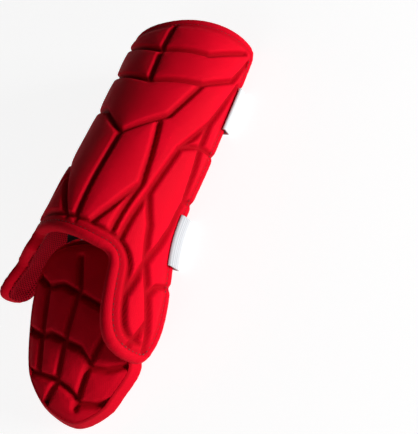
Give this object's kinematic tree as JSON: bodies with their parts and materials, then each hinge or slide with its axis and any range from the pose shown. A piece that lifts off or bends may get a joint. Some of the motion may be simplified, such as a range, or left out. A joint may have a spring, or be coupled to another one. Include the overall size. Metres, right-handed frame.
{
  "type": "batter's leg guard",
  "caption": "Padded leg guard for a batter: a channelled shin shell with a hinged foot pad over the instep, mesh lining and straps across the open back.",
  "frame": {"origin": "centre of the bounding box on the resting plane, under the guard as it lies on its open back", "axes": "+Y up the leg towards the knee, +Z out of the front of the shin, +X towards the wearer's left"},
  "size_m": [0.163, 0.3904, 0.0857],
  "materials": {
    "panel_fabric": "matte knit over moulded foam",
    "edge_binding": "matte knit, rolled and stitched",
    "mesh_lining": "open mesh",
    "black_elastic": "woven elastic",
    "strap_webbing": "satin webbing",
    "strap_elastic": "ribbed elastic",
    "strap_tab": "satin, stitched round"
  },
  "bodies": {
    "root": {"shin_pad": "panel_fabric", "shin_lining": "mesh_lining", "shin_binding": "edge_binding", "foot_pad": "panel_fabric", "foot_lining": "mesh_lining", "foot_binding": "edge_binding", "hinge_tab": "black_elastic", "upper_strap_band": "strap_webbing", "upper_strap_elastic": "strap_elastic", "upper_strap_tab": "strap_tab", "lower_strap_band": "strap_webbing", "lower_strap_elastic": "strap_elastic", "lower_strap_tab": "strap_tab", "foot_strap": "strap_webbing"}
  },
  "joints": []
}
